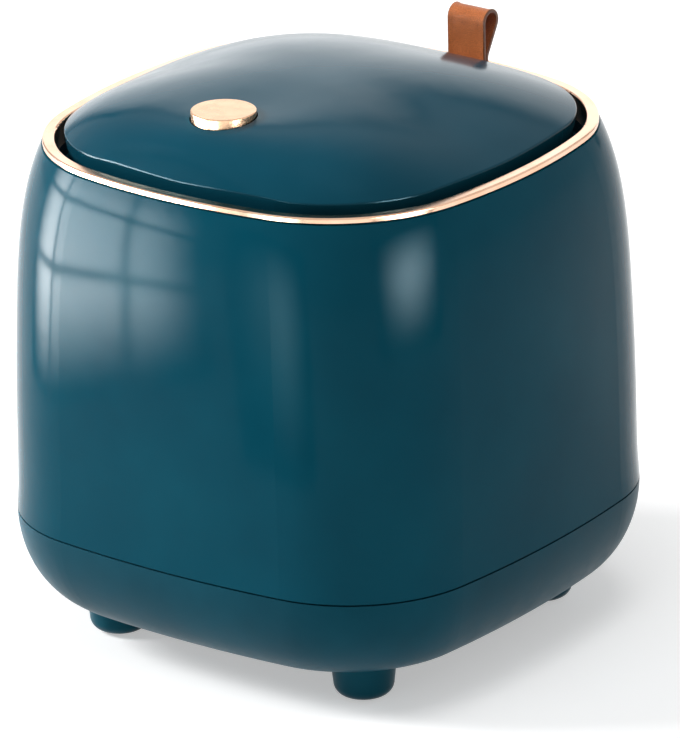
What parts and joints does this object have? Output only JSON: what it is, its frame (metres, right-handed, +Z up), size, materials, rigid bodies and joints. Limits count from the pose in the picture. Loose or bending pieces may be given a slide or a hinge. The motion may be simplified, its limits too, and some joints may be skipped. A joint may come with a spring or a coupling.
{
  "type": "desktop waste bin",
  "caption": "Small press-top desktop waste bin: bowed square body on round feet, plated rim ring, domed hinged lid with a press button and a leather pull loop.",
  "frame": {"origin": "on the table, in the middle of the bin's footprint", "axes": "+Z up, -Y the front under the press button, +Y the back with the hinge and the leather loop, +X the right-hand side"},
  "size_m": [0.18, 0.18, 0.1933],
  "materials": {
    "body_gloss": "glossy deep teal moulding",
    "base_satin": "satin deep teal moulding",
    "foot_satin": "satin deep teal moulding",
    "pad_rubber": "matt black rubber",
    "lid_gloss": "glossy deep teal moulding",
    "frame_dark": "fine-textured dark teal moulding",
    "stem_plastic": "natural acetal",
    "rose_plating": "bright rose-gold plating",
    "screw_steel": "bright zinc-plated steel",
    "keeper_steel": "rolled steel sheet",
    "spring_steel": "drawn spring wire",
    "tan_leather": "tan leather, two layers"
  },
  "bodies": {
    "bin": {"outer_shell": "body_gloss", "base_pan": "base_satin", "foot_front_left": "foot_satin", "foot_front_right": "foot_satin", "foot_rear_left": "foot_satin", "foot_rear_right": "foot_satin", "pad_front_left": "pad_rubber", "pad_front_right": "pad_rubber", "pad_rear_left": "pad_rubber", "pad_rear_right": "pad_rubber", "foot_screws": "screw_steel"},
    "top_frame": {"top_frame": "frame_dark", "trim_ring": "rose_plating", "latch_keeper": "keeper_steel", "keeper_screws": "screw_steel", "hinge_pin_left": "screw_steel", "hinge_pin_right": "screw_steel", "hinge_spring_left": "spring_steel", "hinge_spring_right": "spring_steel", "lid_bumper_left": "pad_rubber", "lid_bumper_right": "pad_rubber", "leather_loop": "tan_leather", "strap_clamp": "keeper_steel", "strap_screws": "screw_steel"},
    "lid": {"lid_cover": "lid_gloss", "lid_liner": "frame_dark", "liner_screws": "screw_steel", "latch_guide": "frame_dark", "guide_screws": "screw_steel", "latch_spring": "spring_steel", "button_spring": "spring_steel"},
    "button": {"button_cap": "rose_plating", "button_stem": "stem_plastic"},
    "latch": {"latch_slider": "stem_plastic"}
  },
  "joints": [
    {"name": "top_lift", "type": "slide", "parent": "bin", "child": "top_frame", "axis": [0, 0, 1], "range_m": [0, 0.04]},
    {"name": "lid_hinge", "type": "hinge", "parent": "top_frame", "child": "lid", "pos_m": [0, 0.066, 0.1724], "axis": [-1, 0, 0], "range_deg": [0, 75]},
    {"name": "button_press", "type": "slide", "parent": "lid", "child": "button", "axis": [0, 0, -1], "range_m": [0, 0.003], "stiffness_N_per_m": 900, "springref_m": -0.001, "deforming": ["button_spring"]},
    {"name": "latch_slide", "type": "slide", "parent": "lid", "child": "latch", "axis": [0, 1, 0], "range_m": [0, 0.003], "deforming": ["latch_spring"]}
  ],
  "couplings": [
    {"joint": "latch_slide", "follows": "button_press", "ratio": 1}
  ]
}
